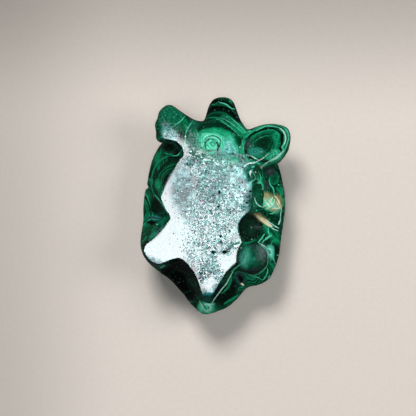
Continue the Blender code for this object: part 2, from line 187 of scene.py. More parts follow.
# The band systems that the photograph shows, from the lowest to the one on top.
NODULES = (
    # The head and the neck.
    Nodule(214, 147, 50, 52, 0, 0.08, 0.8,
           "0 DARK, .44 DARK, .51 SHADE, .56 DARK, .61 DARK, .68 DEEP, .8 BLACK, .86 DEEP, "
           ".91 BLACK, 1 BLACK"),
    Nodule(226, 117.5, 7, 3.4, -20, 0.9, 0.5, "0 LEAF, 1 SHADE"),
    Nodule(240, 129.5, 16, 6.5, -38, 0.4, 1.0, "0 LEAF, .25 BRIGHT, .4 LEAF, .6 GREEN, .8 LEAF, 1 SHADE"),
    Nodule(248.3, 131.8, 3.0, 2.4, 0, 0.8, 0.3, "0 MINT, 1 BRIGHT"),
    Nodule(197, 140, 5, 14, 8, 0.5, 1.0, "0 BRIGHT, .4 LEAF, .7 GREEN, 1 SHADE"),
    # The eye of bands under the chest: the green round it, its mint body, its small swirl.
    Nodule(217, 148, 26, 18.5, -12, 0.10, 1.25,
           "0 BRIGHT, .55 BRIGHT, .66 LEAF, .72 BRIGHT, .84 LEAF, .92 GREEN, 1 SHADE"),
    Nodule(229, 149, 14, 12, 0, 0.8, 1.2, "0 AQUA, .5 AQUA, .8 MINT, 1 BRIGHT"),
    Nodule(211.5, 145.5, 12.5, 10.5, -15, 0.15, 1.2,
           "0 MINT, .35 MINT, .55 BRIGHT, .66 MINT, .74 BRIGHT, .84 MINT, .92 BRIGHT, 1 BRIGHT"),
    # The front right foot.
    Nodule(265, 144, 27, 20, 40, 0.05, 1.5,
           "0 DARK, .22 DARK, .3 SHADE, .36 DARK, .44 GREEN, .48 SHADE, .55 LEAF, .63 GREEN, .7 DEEP, "
           ".76 BLACK, .8 GREEN, .86 BRIGHT, .91 GREEN, .95 BRIGHT, 1 LEAF"),
    Nodule(277, 138.5, 5.5, 8.5, 15, 0.9, 1.2, "0 LEAF, 1 LEAF"),
    Nodule(250, 145, 6.5, 9, -10, 0.8, 0.5, "0 MAUVE, .3 SLATE, 1 DEEP"),
    Nodule(257, 153, 10, 5.5, 12, 0.8, 1.9, "0 SEA, .6 SEA, 1 TEAL"),
    Nodule(273, 155.5, 8.5, 6.5, 35, 0.6, 1.2,
           "0 LEAF, .25 GREEN, .4 MINT, .52 LEAF, .66 BRIGHT, .8 MINT, 1 GREEN"),
    Nodule(267.5, 160.5, 3.6, 2.0, 25, 0.7, 0.3, "0 BLACK, 1 DARK"),
    Nodule(274.5, 162.5, 4.5, 2.4, 25, 0.6, 0.6, "0 LEAF, 1 GREEN"),
    # The front left foot and the green wedge beside it.
    Nodule(170, 116, 19, 15, -10, 0.25, 0.35, "0 GREEN, .35 SHADE, .55 GREEN, .75 SHADE, 1 DARK"),
    Nodule(163.5, 124, 6, 5, 0, 0.8, 0.3, "0 LILAC, .5 MAUVE, 1 SLATE"),
    # Painted highlight: a pale foam patch that stands in for the glare on the front left foot.
    Nodule(165, 133.5, 7, 7.5, 0, 0.9, 0.3, "0 FOAM, .7 FOAM, 1 AQUA"),
    Nodule(176, 129, 7, 5, 0, 0.7, 0.5, "0 SLATE, .6 DARK, 1 DARK"),
    Nodule(174.6, 114.4, 1.6, 1.4, 0, 0.8, 0.0, "0 MINT, 1 LEAF"),
    Nodule(185.8, 126, 5.2, 10, 10, 0.3, 0.6, "0 LEAF, .4 GREEN, 1 GREEN"),
    Nodule(190, 119.5, 4.0, 3.0, -40, 0.6, 0.3, "0 BLACK, 1 DARK"),
    # The left side.
    Nodule(156, 157, 6, 10, -25, 0.5, 1.0, "0 LEAF, .6 GREEN, 1 SHADE"),
    # Painted shade: a deep to black lens in the groove under the front left foot's edge.
    Nodule(170, 148, 12, 6.5, -14, 0.2, 0.6, "0 DEEP, .5 DARK, .8 SLATE, 1 BLACK"),
    Nodule(179, 187, 28, 31.5, 0, 0.05, 0.7,
           "0 DARK, .46 DARK, .52 DEEP, .56 SHADE, .6 DARK, .66 GREEN, .69 SHADE, .73 DARK, .79 GREEN, "
           ".83 SHADE, .88 DARK, .95 DEEP, 1 DEEP"),
    Nodule(158, 188, 5.5, 12, 12, 0.75, 0.9, "0 LEAF, .7 LEAF, 1 GREEN"),
    Nodule(155, 206, 10, 12, 0, 0.5, 0.5, "0 DARK, .6 DEEP, 1 DARK"),
    # Painted reflection: a lilac and sea-green streak that stands in for the grey-teal reflection in the left
    # notch.
    Nodule(155, 218.8, 11, 4.2, 4, 0.5, 0.8, "0 LILAC, .35 SEA, .6 SEA, 1 DEEP"),
    Nodule(152, 224.5, 9, 3.0, 0, 0.5, 0.2, "0 BLACK, 1 BLACK"),
    Nodule(152, 235, 5.5, 13, -32, 0.2, 1.0, "0 BRIGHT, .35 LEAF, .55 GREEN, .7 SHADE, 1 DEEP"),
    # The hollow between the rear left foot and the tail.
    # Painted shade: the hollow is painted near black for the shade that falls in it.
    Nodule(176, 284, 30, 25, 40, 0.15, 0.5, "0 BLACK, .75 BLACK, 1 DEEP"),
    Nodule(194, 285, 7, 13, 25, 0.7, 0.6, "0 DARK, 1 DEEP"),
    Nodule(152, 258, 7, 9, 35, 0.5, 0.3, "0 SLATE, .5 DEEP, 1 DEEP"),
    # The tail and its right flank.
    Nodule(226, 292, 20, 13, 48, 0.3, 0.6, "0 BLACK, .6 DEEP, 1 DARK"),
    Nodule(228, 276, 8, 10, -35, 0.7, 0.8, "0 SHADE, 1 DARK"),
    Nodule(206, 307.5, 12.5, 9.5, 0, 0.45, 1.7, "0 MINT, .3 MINT, .45 PALE, .6 MINT, 1 LEAF"),
    Nodule(202.5, 309.5, 7, 7, 20, 0.9, 2.0, "0 PALE, .3 MINT, 1 MINT"),
    Nodule(208.7, 307.7, 1.9, 1.7, 0, 0.6, 0.0, "0 SHADE, 1 LEAF"),
    Nodule(206, 296.5, 7.5, 6.5, -15, 0.2, 1.0, "0 DARK, .6 TEAL, 1 DEEP"),
    Nodule(240.5, 279, 5.0, 8.5, 6, 0.2, 0.3, "0 DEEP, .35 BLACK, .6 SLATE, .8 TEAL, 1 BLACK"),
    # The rear right foot and the ledge outside it.
    Nodule(270, 252, 6, 11, -4, 0.5, 1.5, "0 MINT, .3 FOAM, .6 MINT, .85 AQUA, 1 LEAF"),
    Nodule(276.6, 252, 3.2, 10, 0, 0.4, 0.2, "0 BLACK, 1 BLACK"),
    Nodule(262, 277, 7, 4.5, 20, 0.4, 1.0, "0 GREEN, .6 SHADE, 1 DARK"),
    Nodule(252, 258.5, 16.8, 17.2, 0, 0.05, 0.4, "0 TEAL, .45 DARK, .7 SLATE, .92 DEEP, 1 SHADE"),
    # Painted sheen: a lilac and mauve patch that stands in for the grey reflection on the foot's right slope.
    Nodule(261, 254, 8, 14, -6, 0.95, 1.6, "0 LILAC, .5 MAUVE, 1 MAUVE"),
    Nodule(258.5, 265, 3.6, 6, 0, 0.9, 0.3, "0 DEEP, 1 DARK"),
    Nodule(246, 256, 9, 16, 0, 0.8, 1.9, "0 AQUA, .4 AQUA, .7 LEAF, 1 SEA"),
    Nodule(254, 258, 1.6, 4.5, 0, 0.8, 0.3, "0 LEAF, 1 SHADE"),
    # The round scoop and the pockets of the right side.
    Nodule(250, 226, 14.5, 15.5, 0, 0.12, 0.15, "0 SHADE, .5 DARK, .85 DEEP, 1 BLACK"),
    # Painted reflection: a blurred mauve smear that stands in for the soft highlight in the scoop.
    Nodule(257, 229, 6.5, 4.0, -12, 0.9, 0.0, "0 MAUVE, .6 SLATE, 1 DARK"),
    Nodule(273, 176, 9, 13, 10, 0.3, 0.7, "0 DARK, .35 DEEP, .6 GREEN, .7 DEEP, 1 DEEP"),
    Nodule(275, 218, 7, 6, 0, 0.5, 0.7, "0 DEEP, 1 DARK"),
    Nodule(272, 204, 13, 9, -25, 0.45, 1.2, "0 MINT, .35 PALE, .5 MINT, .75 BRIGHT, 1 SHADE"),
    Nodule(277.5, 200, 6.5, 10, 20, 0.9, 1.2, "0 TAN, 1 TAN"),
    Nodule(268, 198, 7.5, 7.5, 20, 0.95, 1.2, "0 TAN, 1 TAN"),
    Nodule(274, 208.5, 6.5, 3.0, 0, 0.9, 0.9, "0 TAN, 1 TAN"),
    Nodule(261, 219, 13.5, 5.4, -40, 0.9, 1.1, "0 TAN, 1 TAN"),
    Nodule(267.8, 184, 3.2, 9.5, 8, 0.5, 0.3, "0 DEEP, .5 SLATE, 1 BLACK"),
    Nodule(259, 193.5, 7.0, 13, 14, 0.12, 0.3, "0 GREEN, .5 SHADE, .85 DARK, 1 DEEP"),
    Nodule(253, 206, 4.5, 7, 0, 0.5, 0.8, "0 DARK, .5 SLATE, 1 DEEP"),
    # Painted reflection: the mauve middle stands in for the grey sheen in the pocket.
    Nodule(268.5, 170.5, 6.8, 5.2, 0, 0.35, 0.2, "0 MAUVE, .5 SLATE, 1 SLATE"),
    Nodule(259, 181.3, 4.2, 3.2, 0, 0.6, 0.6, "0 MINT, 1 BRIGHT"),
    Nodule(250.3, 177.3, 5.6, 5.4, 0, 0.2, 0.4, "0 TEAL, .5 DARK, 1 DEEP"),
    # Patches of colour between the pits of the underside.
    Nodule(233, 159.5, 6, 4.2, -15, 0.5, 1.2, "0 MINT, .6 BRIGHT, 1 SEA"),
    Nodule(243.5, 168, 7.5, 4.2, -10, 0.6, 1.2, "0 AQUA, .5 SEA, 1 TEAL"),
    Nodule(205.6, 162, 3.4, 3.2, 0, 0.5, 1.0, "0 FOAM, 1 AQUA"),
)

# The thin lines of each kind: width in pixels, strength and places, from the head to the tail.
VEINS: dict[VeinKind, tuple[tuple[float, float, Places], ...]] = {
    VeinKind.BLACK: (
        (1.2, 1.0, (
            (206.2, 147.6), (205.5, 144), (207.2, 141), (210.4, 139.4), (214, 140.2), (216.6, 142.4),
        )),
        (2.8, 0.95, ((216.4, 142.6), (218.2, 145.6), (218.6, 148.4), (216.6, 150.6))),
        (1.0, 0.9, ((207.4, 145.6), (208.6, 146.2))),
        (2.3, 1.0, (
            (244.5, 140.5), (247.5, 137.6), (251, 135), (255, 132.8), (260, 130.9), (265, 129.3),
            (270, 128.7), (275, 129.6), (278.8, 132), (281.2, 135.5), (282.2, 140), (281.4, 144),
            (279.6, 148), (280.6, 151.6),
        )),
        (1.2, 1.0, ((282.6, 129.4), (285.6, 133.4), (286.6, 138), (286, 142.6), (284.2, 147.4))),
        (1.6, 0.8, ((218, 297), (221, 292.8), (224.4, 288.6), (227.4, 285))),
    ),
    VeinKind.SLATE: (
        (2.0, 0.8, ((199, 153), (205, 154.6), (213, 155.6), (220, 154.6), (226, 153.4))),
        (1.8, 0.8, ((226, 153.4), (233, 154.6), (240, 157), (246, 160.4))),
        # Painted reflection: a slate line along the grey-teal reflection streak in the left notch.
        (2.0, 1.0, ((146.5, 219.6), (151, 217.4), (156, 218), (162.6, 218.7))),
    ),
    VeinKind.LEAF: (
        (1.1, 0.7, ((212, 105), (215, 104.2), (218, 102.6))),
        (1.2, 1.0, (
            (206, 119), (209, 118.2), (213, 117.7), (217, 118.2), (221, 120), (225, 123), (229, 126),
            (233, 129), (236, 132), (239, 135.5), (241, 138),
        )),
        (1.0, 1.0, ((221, 116), (226, 118.2), (231, 121.4), (236, 125), (241, 129.4), (244.4, 133))),
        (1.3, 1.0, ((241, 138), (242, 143), (243, 148), (243.5, 153), (246, 158))),
        (1.2, 1.0, ((209.5, 144.2), (212, 142.6), (214.6, 144), (215.2, 147))),
        (1.0, 1.0, ((207, 133.4), (212, 132.4), (217, 132.9), (221, 135), (225, 138.4), (228, 142.5))),
        (1.0, 1.0, ((256, 147.6), (260, 148.8), (264, 151.4), (267.6, 155))),
        (0.8, 0.8, ((252, 151), (257, 151.4), (262, 153.8), (266, 157.4))),
        (0.9, 1.0, ((250, 147.6), (254, 142.6), (260, 138.4), (266, 136.2), (272, 136.4), (276, 139))),
        (1.4, 1.0, (
            (173, 155.9), (168, 156.4), (163, 158.5), (159, 161.5), (156, 165), (153.5, 170), (152, 176),
            (151.2, 182), (151.7, 187), (153.3, 191.5), (155.8, 196),
        )),
        (1.4, 1.0, ((164, 152.5), (168, 154), (173, 154.2))),
        (1.1, 1.0, ((256.6, 172.6), (258.4, 176), (259, 180))),
        (1.1, 1.0, ((262.4, 169), (262.6, 174), (262.4, 180))),
        (1.1, 1.0, ((250.6, 186), (251.2, 190), (252.6, 194), (254.2, 198))),
        (1.2, 1.0, ((277, 187), (280, 192), (282, 199))),
        (1.0, 1.0, ((266, 199.6), (268.6, 203.4), (271.6, 206), (275.4, 206.6))),
        (1.1, 0.9, ((274, 230.6), (276.6, 234), (279, 239))),
        (1.8, 1.0, ((270.4, 246), (272, 242.2), (275, 240), (278.6, 240.4))),
        (0.9, 1.0, ((246, 244.6), (248.6, 250), (249.4, 256), (248.8, 262), (246.6, 268))),
        (1.0, 1.0, ((240, 243), (243, 247), (244.2, 252), (243.4, 257), (241, 259.6))),
        (2.2, 0.9, ((231.2, 275), (231, 280), (228.6, 286), (225, 290.4), (221.4, 293.4))),
        (1.4, 1.0, ((240.8, 287.4), (244, 287.2))),
        (2.4, 1.0, ((224, 304), (229, 301), (234, 298), (238, 295.6))),
        (1.3, 1.0, ((201.6, 301.6), (204, 305), (206, 309.6))),
    ),
    VeinKind.MINT: (
        # The head, the neck and the front right foot.
        (1.2, 1.0, (
            (218.5, 101.8), (221, 102.9), (224, 103.6), (227, 105), (230, 107.5), (233, 109), (235, 109),
        )),
        (0.8, 0.8, ((216, 119.2), (221, 121.4), (226, 124.8), (231, 128.6), (236, 133), (239.4, 137))),
        (0.9, 0.85, ((219, 117.2), (224, 119.4), (229, 122.4), (234, 126), (239, 130), (243, 134))),
        (1.0, 0.9, ((228, 116.4), (232, 119.4), (236, 122.8), (240, 126.6), (244, 130.4), (247.4, 134))),
        (0.8, 0.85, ((242.2, 141), (243, 146), (243.6, 152))),
        (1.1, 0.9, ((196, 131), (198, 135), (199.5, 139), (199, 144))),
        (0.8, 0.8, ((224, 134.2), (229, 137.4), (233, 141.6), (235.4, 147), (236, 152))),
        (1.3, 1.0, ((255.6, 131.2), (260, 129), (264, 126.9), (268, 126.3), (274, 126.8), (279, 128))),
        (1.4, 1.0, ((283.4, 145), (281.6, 147.4), (283, 150.4))),
        (1.5, 1.0, (
            (285, 129), (287.3, 132), (288.5, 136), (288.2, 140), (286.8, 144), (285, 149), (283.4, 152),
        )),
        (1.2, 1.0, ((253, 161.6), (257, 163), (260.4, 165.2))),
        (1.1, 0.9, ((274.6, 150), (276.6, 153), (277, 156))),
        (0.8, 0.8, ((271, 149.4), (273, 152.6), (273, 157))),
        # The front left foot, the groove and the left side.
        (1.1, 0.85, ((185, 116.6), (182.5, 120), (179, 123), (175, 125.8))),
        (1.1, 0.8, ((192.6, 122), (190, 125.6), (187.8, 129), (186.3, 133), (185.4, 137))),
        (1.3, 0.95, ((185.4, 137), (185.3, 141), (185, 145), (183.6, 148.4), (181.6, 151.4))),
        (1.3, 0.95, ((181.6, 151.4), (179, 154), (177, 155.7), (173, 155.9))),
        (1.6, 1.0, ((155.4, 195.4), (159, 199.5), (162.5, 204), (165.5, 209), (168, 213.5))),
        (1.6, 0.9, ((156.6, 224.8), (157.8, 224.2))),
        (1.8, 0.8, ((160, 268), (163, 266.5), (165, 265))),
        # The right side.
        (1.2, 0.9, ((246.6, 173.2), (249.6, 171.9), (252.6, 172.6), (254.6, 175.4), (255.6, 178.6))),
        (1.8, 1.0, ((255.6, 179), (252, 181.4), (248.6, 184.4))),
        (1.9, 1.0, ((251.4, 167.4), (254.2, 166.6))),
        (1.4, 0.85, ((252, 169.6), (252, 170.2))),
        (1.0, 1.0, ((258.4, 171), (260.2, 175.4), (261, 180.6))),
        (1.1, 0.9, ((269.2, 178.6), (269.4, 182.6), (271, 185.6), (273, 188), (274, 191.6), (274, 196))),
        (1.3, 0.9, ((278.2, 184.4), (279, 185.2))),
        (1.4, 0.95, ((273, 197), (272.4, 201), (273.6, 205), (270, 208.4), (266, 209.6))),
        (1.4, 0.95, ((269.6, 213.6), (273, 213.4), (275.2, 210.6))),
        (1.2, 0.9, ((253.4, 206), (253.8, 206.4))),
        (1.3, 0.9, ((256, 210.2), (256.6, 210.6))),
        (1.3, 0.8, ((251.4, 239), (251.8, 239.4))),
        # The rear right foot, the ledge outside it and the tail's flank.
        (1.1, 1.0, ((268.4, 227.6), (268.4, 232), (270, 235.4))),
        (1.3, 1.0, ((264.4, 234), (261, 239), (258, 242.2))),
        (2.2, 1.0, ((271.6, 235.4), (268, 237.4), (265, 239.6))),
        (1.1, 1.0, ((265, 239.6), (262, 242.4))),
        (1.0, 0.85, (
            (258, 242), (262, 246), (266, 250), (267.6, 254), (268, 260), (266.6, 266), (263, 270.6),
            (259, 273.6), (255, 275),
        )),
        (0.7, 0.8, ((242.4, 247), (244.6, 252), (245, 257.6), (243.6, 263))),
        (1.1, 1.0, ((270.8, 245), (271.8, 250), (272.2, 255), (274, 260), (275.6, 264.4))),
        (1.2, 1.0, ((277.4, 255), (277.6, 256))),
        (1.1, 1.0, ((267.4, 268), (267.6, 272), (266.2, 276), (264, 279), (262, 280.6))),
        (1.0, 0.85, ((248.6, 274.6), (253, 276), (258, 277.5), (260.4, 279), (262, 280.6))),
        (1.6, 0.9, ((270, 275.6), (268.4, 278))),
        # Partly a light band of the stone, partly a painted highlight where the tail flank's crest meets the
        # rear right foot.
        (1.3, 0.8, ((231.6, 271.2), (235, 268), (238, 265.6), (240.6, 263.8))),
    ),
    VeinKind.CREAM: (
        (1.8, 1.0, ((261, 166.4), (261.4, 168.6))),
        (1.5, 1.0, ((255.2, 171.8), (255.5, 172.6))),
        (1.3, 0.7, ((262.6, 206.6), (267, 204.6), (270.6, 201), (272.6, 197))),
        (1.0, 0.7, ((264.6, 209.2), (269.6, 207.4), (273.4, 203.6), (274.6, 199))),
        (1.6, 0.8, ((274.6, 196), (277, 198.4), (279, 202), (280.6, 206.4))),
        (1.2, 0.8, ((276, 201), (277.8, 204.6), (279.8, 208))),
        (1.4, 0.8, ((272.4, 208.4), (276.4, 208.4), (280.4, 208))),
        (1.5, 0.75, ((254, 214), (257.6, 215.6), (261.4, 218.2), (265, 221))),
        (2.0, 0.9, ((256.6, 216.6), (260.6, 219.8), (265, 223), (270, 226.8))),
        (2.3, 1.0, ((259.6, 217.6), (264, 221), (268.6, 224), (272, 226.4))),
        (1.6, 0.9, ((262, 217.8), (266, 220.2), (270, 222.6))),
        (1.9, 1.0, ((241.4, 283.6), (243.6, 285.2))),
    ),
    VeinKind.PALE: (
        (0.9, 0.8, (
            (203.2, 145.4), (204.8, 140.8), (208, 138.2), (212, 137.5), (216, 138.8), (219.6, 141.8),
            (221.8, 146), (221.6, 150.6),
        )),
        (0.8, 0.7, (
            (200.8, 147), (202.4, 139.6), (206.6, 135.8), (212, 134.8), (217.4, 136.4), (221.8, 139.8),
            (224.4, 144.8), (224.6, 150.6),
        )),
        (0.7, 0.7, ((219, 134.8), (224, 137.8), (228, 142), (230, 147.4), (230.2, 152))),
        (1.6, 1.0, ((279, 128.2), (282, 130.6), (284.2, 134), (285.2, 138), (284.9, 142), (283.4, 145))),
        # Painted highlight: these two pale lines along the front right foot's lower edge stand in for its
        # edge highlight.
        (2.4, 1.0, ((283.2, 151), (280, 154.6), (277, 157.4), (273, 159.6), (269, 161.6))),
        (1.6, 1.0, ((269, 161.6), (266, 163.4), (263, 166.2), (261.4, 168.4))),
        (1.3, 0.85, ((250, 156), (254, 158), (258, 160.2))),
        (1.2, 0.85, ((254.4, 198), (255.2, 201), (257, 204), (260, 206.2), (263.4, 207.8))),
        (1.1, 0.8, ((281.8, 205), (281.4, 209), (280.8, 215), (280.4, 220))),
        (1.6, 0.9, ((280.2, 220.6), (278.6, 224.4))),
        (1.3, 1.0, ((268, 221.4), (272, 224.2), (276, 226.6), (279, 228.4))),
        (1.2, 1.0, ((270, 226.8), (274, 229.3), (279, 231))),
        (1.0, 1.0, ((260, 243), (264, 246), (267, 248.6))),
        # Partly a pale band of the stone, partly a painted highlight along the crest of the tail's right
        # flank.
        (1.25, 1.0, (
            (212, 303), (214, 299.2), (217, 295.2), (220, 291.2), (223, 287.3), (226, 284), (228, 280.6),
            (230, 276.6), (231.5, 273.6), (233, 271.4),
        )),
        (1.2, 0.8, ((199.4, 301), (201.6, 305), (204, 309.4), (205.4, 312.4))),
        (1.0, 0.7, ((206, 302.6), (209, 303.6), (212.4, 304), (215, 303.4))),
    ),
}

# Pits of the underside: column, row, half width and half height in pixels, depth in mm.
NAMED_PITS = (
    (219.3, 192.4, 1.2, 1.7, 0.45),
    (218.3, 206.6, 0.9, 0.9, 0.40),
    (220.6, 236.2, 0.9, 1.0, 0.40),
    (220.6, 241.8, 0.9, 0.9, 0.40),
    (213.0, 251.9, 1.7, 1.3, 0.45),
    (224.3, 251.9, 1.6, 1.3, 0.45),
    (229.6, 230.8, 0.9, 0.9, 0.18),
    (213.0, 195.4, 0.9, 0.8, 0.25),
    (206.3, 172.3, 0.8, 0.8, 0.20),
    (190.0, 164.5, 0.9, 0.8, 0.20),
    (250.4, 191.6, 1.4, 1.0, 0.28),
    (249.2, 196.4, 0.9, 1.3, 0.22),
    (246.8, 202.8, 1.6, 1.0, 0.28),
    (243.6, 207.0, 0.9, 0.8, 0.20),
)

# A crack from one pit to the edge, in pixels.
CRACK = ((224.5, 252.0), (228.0, 249.0), (231.5, 246.0), (235.0, 243.6), (239.0, 242.4))

# Soft areas are column, row, half width, half height, turn and strength.
PITTED_AREAS = (
    (212, 184, 26, 34, 0, 0.80),
    (204, 160, 30, 12, 8, 0.72),
    (229, 163, 25, 15, -14, 0.60),
    (193, 147, 7, 17, 5, 0.66),
    (208, 216, 26, 38, 0, 0.68),
    (234, 204, 22, 36, 0, 0.55),
    (249, 200, 7, 20, -8, 0.90),
    (203, 248, 22, 28, -10, 0.66),
    (208, 268, 9, 22, -32, 0.90),
    (221, 245, 22, 13, 0, 0.62),
    (219, 274, 8, 17, 30, 0.80),
    (184, 196, 16, 30, 0, 0.10),
    (182, 238, 16, 20, 0, 0.04),
    (167, 130, 14, 10, -20, 0.64),
)

# Small places inside the pitted areas where the bands show through.
CLEAR_AREAS = ((233, 159.5, 7, 5, -15, 0.80), (243.5, 168, 8, 5, -10, 0.60), (205.6, 162, 4, 4, 0, 0.80))

# Places with a fine green and black mottle instead of clear bands.
MOTTLED_AREAS = (
    (169, 115, 17, 14, -10, 0.85),
    (163, 130, 6, 10, 0, 0.60),
    (253, 166, 11, 8, 0, 0.75),
    (251, 201, 8, 16, -8, 0.85),
    (247, 173, 9, 12, 25, 0.75),
    (193, 124, 6, 8, 0, 0.60),
    (258, 257, 12, 15, 0, 0.40),
    (246, 256, 8, 14, 0, 0.60),
    (231, 163, 27, 13, -14, 0.35),
    (200, 156, 18, 9, 8, 0.30),
    (177, 127, 10, 8, -20, 0.80),
    (192, 140, 8, 18, 5, 0.70),
    (197, 154, 14, 8, 0, 0.80),
)

HAZE_AREAS = {
    Haze.SLATE: (
        (183, 188, 15, 30, 0, 1.0),
        (189, 207, 13, 18, 0, 0.8),
        (206, 293, 9, 6, 0, 1.0),
        (157, 262, 15, 5, -28, 0.9),
        (173, 262, 12, 4, 8, 0.8),
        (156, 230, 15, 3.5, 46, 0.8),
        (214, 288, 4, 14, -38, 0.8),
        (166, 135, 14, 9, -20, 0.5),
    ),
    Haze.CYAN: ((237, 194, 26, 36, 0, 1.0), (222, 172, 30, 14, 0, 0.6), (224, 232, 20, 18, 0, 0.5)),
    Haze.ROSE: ((206, 189, 13, 17, 0, 1.0),),
}

# Hollows and pockets that the polish hardly reached.
HOLLOWS = (
    (250, 226, 18, 19, 0, 1.0),
    (269, 170, 11, 9, 0, 1.0),
    (170, 148, 16, 9, -14, 0.8),
    (258, 193, 12, 20, 14, 0.7),
    (181, 284, 32, 26, 40, 0.6),
    (208, 298, 9, 8, 0, 0.9),
)

# Places where the lapped face rounds off; the last number is a depth in mm.
WORN_EDGES = (
    (259, 258, 21, 23, 0, 1.20),
    (208, 309, 15, 16, 0, 0.90),
    (237, 281, 11, 18, -35, 0.40),
    (256, 203, 8, 13, -10, 0.45),
    (253, 175, 9, 11, 25, 0.40),
)

# Places where the lapped face reaches further out than a smoothed copy; the last number is in mm.
RAISED_EDGES = ((206, 290, 8, 7, 0, 0.35), (166, 137, 11, 9, -20, 0.15))

# Edges of the lapped face that roll off softly: a line in pixels, then a reach and a depth in mm.
SLOPED_EDGES = (
    (((179, 154), (171, 167), (163, 181), (158.5, 196)), 1.7, 0.14),
    (((166, 220), (156, 230), (147, 240)), 1.7, 0.16),
    (((244, 259), (239.5, 265), (234, 271), (226.5, 280), (219.5, 289), (213, 299)), 2.0, 0.18),
)

# Sides that differ from a smoothed copy of the solid; the last number is a distance outwards in mm.
FULLER_SIDES = (
    (215, 205, 260, 260, 0, 0.26),
    (226, 300, 22, 22, 0, 0.34),
    (262, 280, 20, 16, -30, 0.34),
    (147, 202, 10, 18, 0, 0.24),
    (283, 155, 14, 16, 0, 0.20),
    (279, 212, 12, 30, 0, 0.20),
    (175, 289, 26, 22, 40, -0.55),
    (160, 112, 13, 13, 0, -0.50),
)

# Where a soft area starts and where it is full, as shares of its half sizes.
AREA_EDGE = (1.10, 0.40)

# The lapped face is scratched fine up to a slanting line across the chest.
LAP_SLANT = (0.474, 0.880)
LAP_FULL = 6.5
LAP_END = 11.5


def deselect_all() -> None:
    """Leaves nothing selected, so that an operator acts on one piece only."""
    if bpy.context.mode != "OBJECT":
        bpy.ops.object.mode_set(mode="OBJECT")
    bpy.ops.object.select_all(action="DESELECT")


def make_active(piece: bpy.types.Object) -> None:
    """Selects one object alone and makes it the active one.

    Args:
        piece: the object.
    """
    deselect_all()
    piece.select_set(True)
    bpy.context.view_layer.objects.active = piece


def apply_modifier(piece: bpy.types.Object, kind: str, **settings: float | str) -> None:
    """Adds one modifier to a piece and applies it.

    Args:
        piece: the object.
        kind: the modifier's type.
        settings: its properties.
    """
    modifier = piece.modifiers.new(kind.lower(), kind)
    for name, value in settings.items():
        setattr(modifier, name, value)
    make_active(piece)
    bpy.ops.object.modifier_apply(modifier=modifier.name)


def smooth_step(value: np.ndarray, low: float, high: float) -> np.ndarray:
    """Rises softly from 0 at low to 1 at high; high may be under low."""
    share = np.clip((value - low) / (high - low), 0.0, 1.0)
    return share * share * (3.0 - 2.0 * share)


def smooth_line(places: Places) -> np.ndarray:
    """A smooth curve through places in the photograph, with four steps from each place to the next.

    Args:
        places: columns and rows in pixels.

    Returns:
        Points along the curve, in millimetres.
    """
    corners = np.array([PHOTO.place(*place) for place in places])
    padded = np.vstack([2.0 * corners[0] - corners[1], corners, 2.0 * corners[-1] - corners[-2]])
    share = np.linspace(0.0, 1.0, 5)[:-1, None]
    stretches = []
    for before, start, end, after in zip(padded, padded[1:], padded[2:], padded[3:]):
        bend = 2.0 * before - 5.0 * start + 4.0 * end - after
        twist = 3.0 * start - before - 3.0 * end + after
        stretches.append(start + 0.5 * share * ((end - before) + share * (bend + share * twist)))
    return np.vstack([*stretches, corners[-1:]])


def ridge_along(xy: np.ndarray, places: Places, reach: float) -> np.ndarray:
    """A ridge along a smooth line: 1 on the line, falling evenly to 0 at its reach.

    Args:
        xy: points in millimetres.
        places: the line's places in the photograph, in pixels.
        reach: how far the ridge goes to each side, in millimetres, at the middle of the line.

    Returns:
        The ridge's height at each point, half as wide at the line's two ends.
    """
    line = smooth_line(places)
    height = np.zeros(len(xy))
    beside = (xy > line.min(axis=0) - reach) & (xy < line.max(axis=0) + reach)
    near = np.flatnonzero(beside.all(axis=1))
    for number, (start, end) in enumerate(zip(line, line[1:])):
        along = end - start
        away = xy[near] - start
        share = np.clip(away @ along / (along @ along), 0.0, 1.0)
        gap = np.linalg.norm(away - share[:, None] * along, axis=1)
        taper = 0.50 + 0.50 * math.sin(math.pi * (number + 0.5) / (len(line) - 1))
        height[near] = np.maximum(height[near], 1.0 - gap / (reach * taper))
    return height


def in_area(xy: np.ndarray, area: Area) -> np.ndarray:
    """How far inside a soft ellipse each point lies.

    Args:
        xy: points in millimetres.
        area: column, row, half width and half height in pixels, turn in degrees, strength.

    Returns:
        The strength in the middle, falling to 0 at the outside.
    """
    column, row, half_width, half_height, turn, strength = area
    away = xy - np.array(PHOTO.place(column, row))
    angle = math.radians(turn)
    across = away[:, 0] * math.cos(angle) + away[:, 1] * math.sin(angle)
    up = away[:, 1] * math.cos(angle) - away[:, 0] * math.sin(angle)
    share = np.hypot(across / (half_width * PHOTO.mm_per_pixel), up / (half_height * PHOTO.mm_per_pixel))
    return strength * smooth_step(share, *AREA_EDGE)


def spread(xy: np.ndarray, areas: tuple[Area, ...]) -> np.ndarray:
    """The strongest of several soft areas at each point."""
    return np.max([in_area(xy, area) for area in areas], axis=0)


